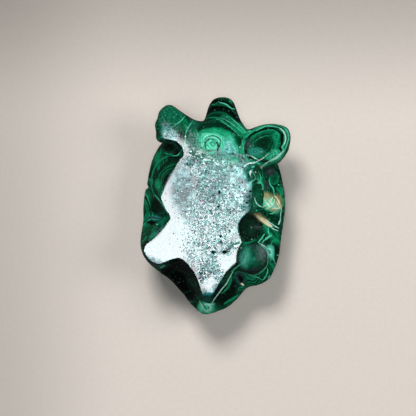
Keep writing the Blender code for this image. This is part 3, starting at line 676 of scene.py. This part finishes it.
@dataclass(frozen=True)
class NodeBoard:
    """Adds and joins the shader nodes of one material or of the world."""

    tree: bpy.types.NodeTree

    def shader(self) -> bpy.types.Node:
        """Clears the board and gives it a shader that feeds the surface.

        Returns:
            The shader.
        """
        self.tree.nodes.clear()
        output = self.add("OutputMaterial")
        shader = self.add("BsdfPrincipled")
        self.join(shader.outputs["BSDF"], output.inputs["Surface"])
        return shader

    def add(
        self, kind: str, inputs: dict[int | str, object] | None = None, **settings: object
    ) -> bpy.types.Node:
        """Adds a node, sets its properties and feeds its inputs.

        Args:
            kind: the node's type, without the words before it.
            inputs: what feeds each socket, by the socket's name or number.
            settings: the node's properties.

        Returns:
            The new node.
        """
        node = self.tree.nodes.new(f"ShaderNode{kind}")
        for name, value in settings.items():
            setattr(node, name, value)
        for key, source in (inputs or {}).items():
            self.join(source, node.inputs[key])
        return node

    def join(self, source: object, target: bpy.types.NodeSocket) -> None:
        """Feeds a socket from another socket, or sets it to a number, a vector or a tone.

        Args:
            source: an output socket, a number, a tuple or a Tone.
            target: the input socket.
        """
        if isinstance(source, bpy.types.NodeSocket):
            self.tree.links.new(source, target)
        elif isinstance(source, Tone):
            target.default_value = (*source.value, 1.0)
        else:
            target.default_value = source

    def maths(self, operation: str, *values: object) -> object:
        """The result of a Math node."""
        return self.add("Math", dict(enumerate(values)), operation=operation).outputs[0]

    def vector_maths(self, operation: str, *values: object) -> object:
        """The vector result of a Vector Math node."""
        return self.add("VectorMath", dict(enumerate(values)), operation=operation).outputs["Vector"]

    def scaled(self, vector: object, scale: object) -> object:
        """A vector or colour times a number."""
        return self.add("VectorMath", {0: vector, "Scale": scale}, operation="SCALE").outputs["Vector"]

    def mapped(
        self, value: object, low: float, high: float, to_low: float = 0.0, to_high: float = 1.0
    ) -> object:
        """A value mapped softly from one range to another."""
        inputs = {"Value": value, "From Min": low, "From Max": high, "To Min": to_low, "To Max": to_high}
        return self.add("MapRange", inputs, interpolation_type="SMOOTHSTEP", clamp=False).outputs[0]

    def mixed(self, share: object, first: object, second: object, blend: str = "MIX") -> object:
        """The colour between two others."""
        return self.add("Mix", {0: share, 6: first, 7: second}, data_type="RGBA", blend_type=blend).outputs[2]

    def between(self, share: object, first: object, second: object) -> object:
        """The number between two others."""
        return self.add("Mix", {0: share, 2: first, 3: second}, data_type="FLOAT").outputs[0]

    def ramp(self, value: object, stops: str, style: str = "LINEAR") -> object:
        """A colour read from a row of shares and tones.

        Args:
            value: the share to read at.
            stops: shares, each with its tone's name.
            style: how the colours between two stops are found.

        Returns:
            The colour.
        """
        pairs = [stop.split() for stop in stops.split(",")]
        places = [(float(share), (*Tone[name].value, 1.0)) for share, name in pairs]
        node = self.add("ValToRGB")
        node.color_ramp.interpolation = style
        elements = node.color_ramp.elements
        elements.remove(elements[-1])
        elements[0].position, elements[0].color = places[0]
        for share, colour in places[1:]:
            elements.new(share).color = colour
        self.join(value, node.inputs[0])
        return node.outputs[0]

    def noise(self, vector: object, scale: float, detail: float, roughness: float) -> bpy.types.Node:
        """A three-dimensional noise."""
        inputs = {"Vector": vector, "Scale": scale, "Detail": detail, "Roughness": roughness}
        return self.add("TexNoise", inputs)

    def lines(self, phase: object, scale: float, detail: float, roughness: float) -> object:
        """A noise along one number, for growth lines."""
        inputs = {"W": phase, "Scale": scale, "Detail": detail, "Roughness": roughness}
        return self.add("TexNoise", inputs, noise_dimensions="1D").outputs[0]

    def cells(self, vector: object, scale: float) -> bpy.types.Node:
        """A pattern of cells, each with its own colour and the distance from its middle."""
        return self.add("TexVoronoi", {"Vector": vector, "Scale": scale}, feature="F1")

    def attribute(self, name: str) -> object:
        """The number that a mesh attribute carries."""
        return self.add("Attribute", attribute_name=name).outputs["Fac"]


@dataclass(frozen=True)
class Malachite:
    """Banded malachite, polished on the outside and pitted where the lap ran into pores.

    Lengths are in millimetres, and the scale of a pattern is its number of cells in a millimetre.
    An edge is the pair of values between which something fades in.
    """

    name: str = "malachite"
    refraction: float = 1.72
    polish: float = 0.025
    lapped_roughness: float = 0.13
    hollow_roughness: float = 0.34
    turquoise_roughness: float = 0.42
    upper_roughness: float = 0.60
    mottled_roughness: float = 0.75
    pit_roughness: float = 0.9
    grain_roughness: tuple[float, float] = (0.08, 0.36)
    haze_change: float = 0.08
    lapped_colour: float = 0.5
    patchy: float = 0.75
    blotchy: float = 0.40
    wander: float = 3.4
    ripple: float = 0.7
    nodule_spacing: float = 13.0
    run_apart: float = 7.3
    line_scale: float = 2.2
    vein_unevenness: float = 0.85
    vein_edge: tuple[float, float] = (0.40, 0.88)
    cloud_contrast: float = 2.6
    grain_scale: float = 3.6
    grain_raggedness: float = 0.45
    speckle_in_mottle: float = 0.2
    turquoise_middle: float = 0.445
    turquoise_edge: tuple[float, float] = (0.12, 0.10)
    hole_edge: tuple[float, float] = (0.915, 0.93)
    pit_edge: tuple[float, float] = (0.20, 0.75)
    relief: float = 0.025

    def material(self) -> bpy.types.Material:
        """Builds the material.

        Returns:
            The finished material.
        """
        material = bpy.data.materials.new(self.name)
        material.use_nodes = True
        board = NodeBoard(material.node_tree)
        shader = board.shader()
        millimetres = board.scaled(board.add("TexCoord").outputs["Object"], 1.0 / MM)
        colour, phase, strength = self.bands(board, millimetres)
        colour = self.growth_lines(board, colour, phase, strength, millimetres)
        colour = self.veins(board, colour, millimetres)
        colour, roughness, relief = self.lapped_face(board, colour, millimetres)
        board.join(colour, shader.inputs["Base Color"])
        board.join(roughness, shader.inputs["Roughness"])
        board.join(self.refraction, shader.inputs["IOR"])
        bump = board.add("Bump", {"Strength": 1.0, "Distance": MM, "Height": relief})
        board.join(bump.outputs[0], shader.inputs["Normal"])
        return material

    def bands(self, board: NodeBoard, millimetres: object) -> tuple[object, object, object]:
        """The body colour, with each nodule painted over the ones before it.

        Args:
            board: the material's nodes.
            millimetres: the place in the stone.

        Returns:
            The colour, the distance along which growth lines run, and how strongly they show.
        """
        place = millimetres
        for scale, reach in ((0.15, self.wander), (0.55, self.ripple)):
            wander = board.noise(millimetres, scale, 1.5, 0.45).outputs["Color"]
            shift = board.scaled(board.vector_maths("SUBTRACT", wander, (0.5, 0.5, 0.5)), reach)
            place = board.vector_maths("ADD", place, shift)
        growth = board.cells(place, 1.0 / self.nodule_spacing)
        phase = board.maths("MULTIPLY", growth.outputs["Distance"], self.nodule_spacing)
        colour = board.ramp(
            board.lines(phase, 0.34, 3.0, 0.55),
            ".25 DEEP, .36 DARK, .4 SHADE, .43 DEEP, .49 GREEN, .52 LEAF, .54 DARK, .6 SHADE, .64 BRIGHT, "
            ".67 DARK, .72 GREEN",
        )
        strength = 1.0
        for number, nodule in enumerate(NODULES, start=1):
            turn = (0.0, 0.0, math.radians(nodule.turn))
            inputs = {"Vector": place, "Location": nodule.middle, "Rotation": turn, "Scale": nodule.half}
            mapping = board.add("Mapping", inputs, vector_type="TEXTURE")
            ball = board.add("TexGradient", {0: mapping.outputs[0]}, gradient_type="SPHERICAL")
            share = board.maths("SUBTRACT", 1.0, ball.outputs["Fac"])
            inside = board.mapped(share, 1.0, 1.0 - nodule.blur)
            colour = board.mixed(inside, colour, board.ramp(share, nodule.rings))
            run = board.maths("MULTIPLY_ADD", share, max(nodule.half[:2]), self.run_apart * number)
            phase = board.between(inside, phase, run)
            strength = board.between(inside, strength, nodule.lines)
        return colour, phase, strength

    def growth_lines(
        self, board: NodeBoard, colour: object, phase: object, strength: object, millimetres: object
    ) -> object:
        """Fine lighter and darker lines that follow the bands, sparse bright arcs and a faint mottle.

        Args:
            board: the material's nodes.
            colour: the banded colour.
            phase: the distance along which the lines run.
            strength: how strongly they show.
            millimetres: the place in the stone.

        Returns:
            The colour with its lines.
        """
        fine = board.mapped(board.lines(phase, self.line_scale, 4.0, 0.65), 0.32, 0.68, 0.40, 1.60)
        mottle = board.mapped(board.noise(millimetres, 0.9, 4.0, 0.62).outputs[0], 0.3, 0.7, 0.72, 1.28)
        gain = board.maths("MULTIPLY", board.between(strength, 1.0, fine), mottle)
        colour = board.scaled(colour, gain)
        arcs = board.mapped(board.lines(phase, 0.83, 3.0, 0.6), 0.55, 0.66, 0.0, 0.30)
        colour = board.mixed(board.maths("MULTIPLY", arcs, strength), colour, Tone.LEAF, "SCREEN")
        flecks = board.ramp(
            board.noise(millimetres, 1.5, 5.0, 0.72).outputs[0],
            ".36 DEEP, .43 GREEN, .47 DARK, .51 LEAF, .54 SHADE, .58 SEA, .61 DARK, .65 AQUA, .7 SLATE",
        )
        return board.mixed(board.attribute("mottled"), colour, flecks)

    def veins(self, board: NodeBoard, colour: object, millimetres: object) -> object:
        """The thin lines that the mesh carries, with slightly uneven edges.

        Args:
            board: the material's nodes.
            colour: the banded colour.
            millimetres: the place in the stone.

        Returns:
            The colour with the lines over it.
        """
        uneven = board.noise(millimetres, 1.9, 4.0, 0.62).outputs[0]
        wobble = board.maths("MULTIPLY", board.maths("SUBTRACT", uneven, 0.5), self.vein_unevenness)
        for kind in VeinKind:
            height = board.maths("ADD", board.attribute(kind.attribute), wobble)
            colour = board.mixed(board.mapped(height, *self.vein_edge), colour, kind.value)
        return colour

    def lapped_face(
        self, board: NodeBoard, colour: object, millimetres: object
    ) -> tuple[object, object, object]:
        """The underside's pits, speckle and hazy patches, and the dull hollows.

        Args:
            board: the material's nodes.
            colour: the banded colour so far.
            millimetres: the place in the stone.

        Returns:
            The colour, the roughness and the height of the fine relief in millimetres.
        """
        clouds = board.noise(millimetres, 0.42, 4.0, 0.62).outputs[0]
        drift = board.maths("MULTIPLY", board.maths("SUBTRACT", clouds, 0.5), self.cloud_contrast)
        lapped = board.attribute("lapped")
        roughness = board.between(lapped, self.polish, self.lapped_roughness)
        roughness = board.between(board.attribute("hollow"), roughness, self.hollow_roughness)
        for haze in Haze:
            amount = board.attribute(haze.attribute)
            uneven = board.maths("MULTIPLY_ADD", drift, amount, amount)
            milk = board.scaled(haze.tone.value, board.mapped(clouds, 0.35, 0.65, 0.35, 1.7))
            colour = board.mixed(board.maths("MULTIPLY", uneven, haze.cover), colour, milk)
            duller = haze.roughness + self.haze_change
            dull = board.mapped(clouds, 0.38, 0.62, duller, haze.roughness - self.haze_change)
            roughness = board.between(uneven, roughness, dull)
        colour = board.scaled(colour, board.between(lapped, 1.0, self.lapped_colour))
        open_grain, grain = self.open_grain(board, millimetres)
        speckle = self.speckle(board, grain, clouds, lapped, millimetres)
        mottled = board.attribute("mottled")
        left = board.mapped(mottled, 0.0, 1.0, 1.0, self.speckle_in_mottle)
        colour = board.mixed(board.maths("MULTIPLY", open_grain, left), colour, speckle)
        coarse = board.mapped(grain.outputs[1], 0.0, 1.0, *self.grain_roughness)
        from_turquoise = board.maths("SUBTRACT", grain.outputs[0], self.turquoise_middle)
        turquoise = board.mapped(board.maths("ABSOLUTE", from_turquoise), *self.turquoise_edge)
        coarse = board.between(turquoise, coarse, self.turquoise_roughness)
        coarse = board.between(lapped, self.upper_roughness, coarse)
        coarse = board.between(mottled, coarse, self.mottled_roughness)
        roughness = board.between(open_grain, roughness, coarse)
        hole = board.maths("MULTIPLY", board.mapped(grain.outputs[0], *self.hole_edge), open_grain)
        pit = board.maths("MAXIMUM", board.mapped(board.attribute("pit"), *self.pit_edge), hole)
        colour = board.mixed(pit, colour, Tone.BLACK)
        roughness = board.between(pit, roughness, self.pit_roughness)
        fine = board.noise(millimetres, 1.8, 1.0, 0.5).outputs[0]
        relief = board.maths("MULTIPLY", board.maths("SUBTRACT", fine, 0.5), self.relief)
        return colour, roughness, board.maths("MULTIPLY", relief, open_grain)

    def open_grain(self, board: NodeBoard, millimetres: object) -> tuple[object, bpy.types.Node]:
        """Where the lap left the grain open, and random numbers for each grain.

        Args:
            board: the material's nodes.
            millimetres: the place in the stone.

        Returns:
            A mask that thins out towards the edge of the pitted area, and a node with three numbers a grain.
        """
        ragged = board.noise(millimetres, 2.0, 2.0, 0.6).outputs["Color"]
        shifted = board.vector_maths("ADD", millimetres, board.scaled(ragged, self.grain_raggedness))
        cells = board.cells(shifted, self.grain_scale)
        grain = board.add("SeparateColor", {0: cells.outputs["Color"]})
        patches = board.noise(millimetres, 0.7, 3.0, 0.65).outputs[0]
        pitted = board.attribute("pitted")
        chance = board.maths("MULTIPLY", pitted, board.mapped(patches, 0.3, 0.7, 0.45, 1.55))
        drawn = board.maths("SUBTRACT", chance, grain.outputs[2])
        return board.mapped(drawn, -0.03, 0.03), grain

    def speckle(
        self, board: NodeBoard, grain: bpy.types.Node, clouds: object, lapped: object, millimetres: object
    ) -> object:
        """The colours of the open grains, with larger patches where the face is polished.

        Args:
            board: the material's nodes.
            grain: the node with three numbers a grain.
            clouds: the slow noise of the lapped face.
            lapped: how far the face is lapped.
            millimetres: the place in the stone.

        Returns:
            The colour.
        """
        specks = board.ramp(
            grain.outputs[0], "0 SLATE, .12 MAUVE, .24 SEA, .34 AQUA, .55 LILAC, .76 FOAM", "CONSTANT"
        )
        blotches = board.ramp(
            clouds, ".36 MAUVE, .42 LILAC, .47 SEA, .5 MAUVE, .55 AQUA, .6 LILAC, .66 FOAM"
        )
        speckle = board.mixed(self.blotchy, specks, blotches)
        patches = board.ramp(
            board.noise(millimetres, 1.1, 3.0, 0.70).outputs[0],
            "0 DEEP, .39 SEA, .43 MAUVE, .465 AQUA, .495 SLATE, .515 FOAM, .545 LILAC, .57 SEA, .6 FOAM, "
            ".65 DEEP",
            "CONSTANT",
        )
        return board.mixed(lapped, board.mixed(self.patchy, speckle, patches), speckle)


@dataclass(frozen=True)
class Paper:
    """Pale warm paper, a little darker towards the upper left."""

    name: str = "paper"
    colour: Triple = (0.86, 0.775, 0.70)
    roughness: float = 0.85
    fibre: float = 0.02
    fibres_per_metre: float = 900.0
    falls_from: float = 0.020
    falls_to: float = 0.062
    darker_left: float = 0.29
    darker_top: float = 0.42

    def material(self) -> bpy.types.Material:
        """Builds the material.

        Returns:
            The finished material.
        """
        material = bpy.data.materials.new(self.name)
        material.use_nodes = True
        board = NodeBoard(material.node_tree)
        shader = board.shader()
        place = board.add("TexCoord").outputs["Object"]
        across = board.add("SeparateXYZ", {0: place})
        left = board.mapped(across.outputs[0], -self.falls_from, -self.falls_to, 1.0, 1.0 - self.darker_left)
        top = board.mapped(across.outputs[1], self.falls_from, self.falls_to, 1.0, 1.0 - self.darker_top)
        fibres = board.noise(place, self.fibres_per_metre, 3.0, 0.6).outputs[0]
        grain = board.mapped(fibres, 0.2, 0.8, 1.0 - self.fibre, 1.0 + self.fibre)
        shade = board.maths("MULTIPLY", board.maths("MULTIPLY", left, top), grain)
        board.join(board.scaled(self.colour, shade), shader.inputs["Base Color"])
        board.join(self.roughness, shader.inputs["Roughness"])
        return material


@dataclass
class TurtleStone:
    """The carved stone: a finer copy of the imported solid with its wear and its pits.

    Sizes are in millimetres, and the chip's place is in pixels. An edge is the pair of values
    between which something fades in.
    """

    name: str = "carved_stone"
    node: str = "turtle"
    body: str = "root"
    slot: str = "malachite"
    weld: float = 0.001
    grain: float = 0.44
    fine_from_z: float = 12.3
    smoothing_factor: float = 0.5
    first_smoothing: int = 9
    second_smoothing: int = 8
    box_edge: tuple[float, float] = (0.05, 1.2)
    lap_edge: tuple[float, float] = (UNDERSIDE_Z - 2.2, UNDERSIDE_Z - 0.5)
    lift: float = 0.30
    refined_pitting: float = 0.68
    refined_by_crack: float = 0.8
    refined_by_pit: float = 0.9
    refined_again_by_pit: float = 0.5
    shell_edge: tuple[float, float] = (7.0, 9.5)
    mottle_edge: tuple[float, float] = (12.0, 17.5)
    lapped_edge: tuple[float, float] = (UNDERSIDE_Z - 1.0, UNDERSIDE_Z - 0.15)
    flat_edge: tuple[float, float] = (UNDERSIDE_Z - 0.35, UNDERSIDE_Z - 0.05)
    level_edge: tuple[float, float] = (0.9, 0.985)
    vein_reach: float = 1.25
    vein_base: float = 0.72
    vein_rise: float = 0.28
    pit_edge: tuple[float, float] = (1.25, 0.55)
    crack_half_width: float = 0.24
    crack_edge: tuple[float, float] = (0.0, 0.75)
    crack_depth: float = 0.09
    blackest_pit: float = 0.30
    small_pits: int = 1100
    small_pit_radii: tuple[float, float] = (0.12, 0.26)
    small_pit_depths: tuple[float, float] = (0.01, 0.06)
    small_pits_past_lap: float = 3.0
    small_pits_from_pitting: float = 0.5
    chip: tuple[float, float] = (145.6, 186.6)
    chip_edge: tuple[float, float] = (0.85, 0.15)
    chip_depth: float = 0.50
    finish: Malachite = field(default_factory=Malachite)

    def build(self) -> bpy.types.Object:
        """Models the stone, carries its patterns and dresses it.

        Returns:
            The finished piece.
        """
        stone = self.copy_of_solid()
        apply_modifier(stone, "REMESH", mode="VOXEL", voxel_size=self.grain * MM)
        apply_modifier(stone, "SMOOTH", factor=self.smoothing_factor, iterations=self.first_smoothing)
        self.refine(stone, lambda middles: middles[:, 2] > self.fine_from_z)
        apply_modifier(stone, "SMOOTH", factor=self.smoothing_factor, iterations=self.second_smoothing)
        self.fill_out(stone)
        self.lap(stone)
        self.refine(stone, self.on_pitted_face)
        self.refine(stone, lambda middles: self.beside_named_pits(middles, self.refined_again_by_pit))
        self.carry_patterns(stone)
        self.pit_and_chip(stone)
        stone.data.materials.clear()
        stone.data.materials.append(self.finish.material())
        make_active(stone)
        bpy.ops.object.shade_smooth()
        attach(stone, self.body)
        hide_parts(self.node)
        return stone

    def copy_of_solid(self) -> bpy.types.Object:
        """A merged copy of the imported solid.

        Returns:
            The new object.
        """
        stone = bpy.data.objects.new(self.name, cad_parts[self.node].data.copy())
        bpy.context.scene.collection.objects.link(stone)
        make_active(stone)
        bpy.ops.object.mode_set(mode="EDIT")
        bpy.ops.mesh.select_all(action="SELECT")
        bpy.ops.mesh.remove_doubles(threshold=self.weld * MM)
        bpy.ops.mesh.normals_make_consistent(inside=False)
        bpy.ops.object.mode_set(mode="OBJECT")
        return stone

    @staticmethod
    def refine(stone: bpy.types.Object, chosen: Callable[[np.ndarray], np.ndarray]) -> None:
        """Halves the faces that a test picks.

        Args:
            stone: the piece.
            chosen: a test on the middles of all the faces, in millimetres.
        """
        mesh = stone.data
        middles = np.zeros(len(mesh.polygons) * 3)
        mesh.polygons.foreach_get("center", middles)
        picked = chosen(middles.reshape(-1, 3) / MM)
        make_active(stone)
        bpy.ops.object.mode_set(mode="EDIT")
        bpy.ops.mesh.select_mode(type="FACE")
        bpy.ops.mesh.select_all(action="DESELECT")
        bpy.ops.object.mode_set(mode="OBJECT")
        mesh.polygons.foreach_set("select", picked)
        bpy.ops.object.mode_set(mode="EDIT")
        bpy.ops.mesh.subdivide(number_cuts=1)
        bpy.ops.object.mode_set(mode="OBJECT")

    def on_pitted_face(self, middles: np.ndarray) -> np.ndarray:
        """Picks the faces of the flat underside where the stone is pitted or cracked.

        Args:
            middles: the middles of the faces, in millimetres.

        Returns:
            Whether each face is picked.
        """
        xy = middles[:, :2]
        chosen = spread(xy, PITTED_AREAS) > self.refined_pitting
        chosen |= ridge_along(xy, CRACK, self.refined_by_crack) > 0.0
        chosen &= middles[:, 2] > FLAT_FROM_Z
        return chosen | self.beside_named_pits(middles, self.refined_by_pit)

    @staticmethod
    def beside_named_pits(middles: np.ndarray, reach: float) -> np.ndarray:
        """Picks the faces of the flat underside within reach of one of the larger pits.

        Args:
            middles: the middles of the faces, in millimetres.
            reach: the distance from the middle of a pit.

        Returns:
            Whether each face is picked.
        """
        chosen = np.zeros(len(middles), dtype=bool)
        for column, row, *_ in NAMED_PITS:
            chosen |= np.linalg.norm(middles[:, :2] - np.array(PHOTO.place(column, row)), axis=1) < reach
        return chosen & (middles[:, 2] > FLAT_FROM_Z)

    def fill_out(self, stone: bpy.types.Object) -> None:
        """Pushes the sides out to the outline that the smoothing drew in, inside the solid's box.

        Args:
            stone: the piece.
        """
        points, normals = self.points_and_normals(stone)
        low, high = (np.array(corner[:2]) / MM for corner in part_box(self.node))
        distance = np.sum([in_area(points[:, :2], area) for area in FULLER_SIDES], axis=0)
        step = normals[:, :2] * distance[:, None]
        room = np.where(step > 0.0, high - points[:, :2], points[:, :2] - low)
        points[:, :2] += step * smooth_step(room, *self.box_edge)
        self.set_points(stone, points)

    def lap(self, stone: bpy.types.Object) -> None:
        """Grinds the underside flat again and rounds off its worn edges.

        Args:
            stone: the piece.
        """
        points, normals = self.points_and_normals(stone)
        near = smooth_step(points[:, 2], *self.lap_edge) * np.clip(normals[:, 2], 0.0, 1.0)
        lift = self.lift + spread(points[:, :2], RAISED_EDGES)
        points[:, 2] = np.clip(points[:, 2] + lift * near, 0.0, UNDERSIDE_Z)
        for area in WORN_EDGES:
            points[:, 2] -= in_area(points[:, :2], area) * near
        for line, reach, depth in SLOPED_EDGES:
            points[:, 2] -= depth * ridge_along(points[:, :2], line, reach) ** 2 * near
        self.set_points(stone, points)

    @staticmethod
    def points_and_normals(stone: bpy.types.Object) -> tuple[np.ndarray, np.ndarray]:
        """Reads the stone's vertices.

        Args:
            stone: the piece.

        Returns:
            Their places in millimetres, and their normals.
        """
        mesh = stone.data
        points = np.zeros(len(mesh.vertices) * 3)
        mesh.vertices.foreach_get("co", points)
        normals = np.zeros(len(mesh.vertices) * 3)
        mesh.vertex_normals.foreach_get("vector", normals)
        return points.reshape(-1, 3) / MM, normals.reshape(-1, 3)

    @staticmethod
    def set_points(stone: bpy.types.Object, points: np.ndarray) -> None:
        """Moves the stone's vertices to places given in millimetres."""
        stone.data.vertices.foreach_set("co", (points * MM).ravel())
        stone.data.update()

    @staticmethod
    def write(stone: bpy.types.Object, name: str, values: np.ndarray) -> None:
        """Stores one number for each vertex under a name."""
        attribute = stone.data.attributes.new(name, "FLOAT", "POINT")
        attribute.data.foreach_set("value", values.astype(np.float32))

    def carry_patterns(self, stone: bpy.types.Object) -> None:
        """Writes the veins, the hollows and the pitted and hazy patches as attributes of the mesh.

        Args:
            stone: the piece.
        """
        points, normals = self.points_and_normals(stone)
        xy = points[:, :2]
        above = smooth_step(points[:, 2], *self.shell_edge)
        for kind in VeinKind:
            height = np.zeros(len(points))
            for width, strength, places in VEINS[kind]:
                ridge = ridge_along(xy, places, self.vein_reach * width * PHOTO.mm_per_pixel)
                height = np.maximum(height, ridge * (self.vein_base + self.vein_rise * strength))
            self.write(stone, kind.attribute, height * above)
        self.write(stone, "hollow", spread(xy, HOLLOWS) * above)
        mottled = spread(xy, MOTTLED_AREAS) * smooth_step(points[:, 2], *self.mottle_edge)
        self.write(stone, "mottled", mottled)
        lapped = smooth_step(points[:, 2], *self.lapped_edge)
        lapped *= smooth_step(xy @ np.array(LAP_SLANT), LAP_END, LAP_FULL)
        self.write(stone, "lapped", lapped)
        flat = smooth_step(points[:, 2], *self.flat_edge)
        flat *= smooth_step(normals[:, 2], *self.level_edge) * (1.0 - spread(xy, CLEAR_AREAS))
        self.write(stone, "pitted", spread(xy, PITTED_AREAS) * flat)
        for haze, areas in HAZE_AREAS.items():
            self.write(stone, haze.attribute, spread(xy, areas) * flat)

    def pit_and_chip(self, stone: bpy.types.Object) -> None:
        """Sinks the named pits, the crack, many small pores and the chip of the rim.

        Args:
            stone: the piece.
        """
        points, normals = self.points_and_normals(stone)
        flat = points[:, 2] > UNDERSIDE_Z - 0.02
        depth = np.zeros(len(points))
        for column, row, half_width, half_height, sink in NAMED_PITS:
            away = (points[:, :2] - np.array(PHOTO.place(column, row))) / PHOTO.mm_per_pixel
            share = np.hypot(away[:, 0] / half_width, away[:, 1] / half_height)
            depth = np.maximum(depth, sink * smooth_step(share, *self.pit_edge))
        crack = ridge_along(points[:, :2], CRACK, self.crack_half_width)
        depth = np.maximum(depth, self.crack_depth * smooth_step(crack, *self.crack_edge))
        depth = np.maximum(depth, self.pores(points, flat))
        depth[~flat] = 0.0
        points[:, 2] -= depth
        chip = np.linalg.norm(points[:, :2] - np.array(PHOTO.place(*self.chip)), axis=1)
        points -= normals * (self.chip_depth * smooth_step(chip, *self.chip_edge))[:, None]
        self.set_points(stone, points)
        self.write(stone, "pit", np.clip(depth / self.blackest_pit, 0.0, 1.0))

    def pores(self, points: np.ndarray, flat: np.ndarray) -> np.ndarray:
        """The depth of the many small pores of the pitted areas.

        Args:
            points: the vertices in millimetres.
            flat: which of them lie on the lapped face.

        Returns:
            A depth in millimetres for each vertex.
        """
        random = np.random.default_rng(SEED)
        chances = spread(points[:, :2], PITTED_AREAS)
        polished = points[:, :2] @ np.array(LAP_SLANT) > LAP_FULL + self.small_pits_past_lap
        chances[~flat | polished | (chances < self.small_pits_from_pitting)] = 0.0
        chosen = random.choice(len(points), self.small_pits, p=chances / chances.sum())
        tree = kdtree.KDTree(int(flat.sum()))
        for index in np.flatnonzero(flat):
            tree.insert(Vector(points[index]), int(index))
        tree.balance()
        depth = np.zeros(len(points))
        for index in chosen:
            radius = random.uniform(*self.small_pit_radii)
            sink = random.uniform(*self.small_pit_depths)
            for _, other, gap in tree.find_range(Vector(points[index]), radius):
                share = 1.0 - (gap / radius) ** 2
                depth[other] = max(depth[other], sink * share)
        return depth


@dataclass(frozen=True)
class Softbox:
    """One rectangular softbox.

    Attributes:
        name: the light's name.
        place: where it hangs, in metres.
        aim: the point that it faces.
        size: its width and height in metres.
        radiance: how bright its face is.
        turn: degrees about its own axis.
        mirrored: whether polished surfaces show it.
        colour: its light, as linear red, green and blue.
    """

    name: str
    place: Triple
    aim: Triple
    size: tuple[float, float]
    radiance: float
    turn: float = 0.0
    mirrored: bool = False
    colour: Triple = (1.0, 1.0, 1.0)

    def build(self) -> None:
        """Hangs the light in the scene."""
        light = bpy.data.lights.new(self.name, "AREA")
        light.color = self.colour
        light.shape = "RECTANGLE"
        light.size, light.size_y = self.size
        light.energy = self.radiance * math.pi * self.size[0] * self.size[1]
        holder = bpy.data.objects.new(self.name, light)
        facing = (Vector(self.aim) - Vector(self.place)).to_track_quat("-Z", "Y").to_matrix().to_4x4()
        turned = Matrix.Rotation(math.radians(self.turn), 4, "Z")
        holder.matrix_world = Matrix.Translation(self.place) @ facing @ turned
        holder.visible_camera = False
        holder.visible_glossy = self.mirrored
        bpy.context.scene.collection.objects.link(holder)


MIDDLE = (0.0, 0.0, 0.0)

# The overhead softbox glares in the lapped face, and the other two only light the stone.
SOFTBOXES = (
    Softbox(
        "overhead", (-0.0428, -0.0785, 1.70), (-0.0428, -0.0785, 0.0), (0.34, 0.25), 16.8,
        turn=-28.3, mirrored=True, colour=(0.88, 0.95, 1.0),
    ),
    Softbox("upper_left", (-0.24, 0.62, 0.95), MIDDLE, (0.36, 0.36), 21.0),
    Softbox("right", (0.60, 0.10, 0.72), MIDDLE, (0.45, 0.45), 4.2),
)


@dataclass
class Studio:
    """The pale floor, the soft lights and the camera above. Sizes are in metres."""

    camera_height: float = 0.80
    image_pixels: int = 416
    outline_height: float = 0.014
    sensor: float = 36.0
    nearest: float = 0.01
    furthest: float = 20.0
    floor_size: float = 6.0
    room_colour: Triple = (0.80, 0.83, 0.86)
    room_strength: float = 0.018
    paper_glow: float = 0.045
    glow_from: float = 0.05
    glow_to: float = -0.45
    backdrop_glow: float = 0.80
    paper: Paper = field(default_factory=Paper)

    def build(self) -> None:
        """Makes the floor, the lights, the camera and the surroundings."""
        self.floor()
        for softbox in SOFTBOXES:
            softbox.build()
        self.camera()
        self.surroundings()

    def floor(self) -> None:
        """A wide sheet of paper, which the polish doesn't mirror."""
        deselect_all()
        bpy.ops.mesh.primitive_plane_add(size=self.floor_size, location=MIDDLE)
        floor = bpy.context.object
        floor.name = "paper_floor"
        floor.data.materials.append(self.paper.material())
        floor.visible_glossy = False

    def camera(self) -> None:
        """The camera straight above, framed as the photograph is."""
        data = bpy.data.cameras.new("camera")
        middle = self.image_pixels / 2
        x, y = PHOTO.place(middle, middle)
        width = self.image_pixels * PHOTO.mm_per_pixel * MM
        data.sensor_width = self.sensor
        data.lens = self.sensor * (self.camera_height - self.outline_height) / width
        data.clip_start = self.nearest
        data.clip_end = self.furthest
        camera = bpy.data.objects.new("camera", data)
        camera.location = (x * MM, y * MM, self.camera_height)
        bpy.context.scene.collection.objects.link(camera)
        bpy.context.scene.camera = camera

    def surroundings(self) -> None:
        """A dim room, pale towards the floor and where the camera looks, and plain display colours."""
        scene = bpy.context.scene
        scene.world = bpy.data.worlds.new("studio")
        scene.world.use_nodes = True
        board = NodeBoard(scene.world.node_tree)
        background = board.tree.nodes["Background"]
        board.join((*self.room_colour, 1.0), background.inputs["Color"])
        direction = board.add("SeparateXYZ")
        board.join(board.add("TexCoord").outputs["Generated"], direction.inputs[0])
        downwards = board.add("MapRange", {
            "Value": direction.outputs["Z"],
            "From Min": self.glow_from,
            "From Max": self.glow_to,
            "To Min": self.room_strength,
            "To Max": self.paper_glow,
        })
        seen = board.add("Math", {1: self.backdrop_glow, 2: downwards.outputs[0]}, operation="MULTIPLY_ADD")
        board.join(board.add("LightPath").outputs["Is Camera Ray"], seen.inputs[0])
        board.join(seen.outputs[0], background.inputs["Strength"])
        scene.view_settings.view_transform = "Standard"
        scene.view_settings.look = "None"


def main() -> None:
    """Builds the stone and the studio."""
    logging.basicConfig(level=logging.INFO, format="%(name)s: %(message)s")
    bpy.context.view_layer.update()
    stone = TurtleStone().build()
    Studio().build()
    LOG.info("studio: floor, lights and camera")


if __name__ == "__main__":
    main()
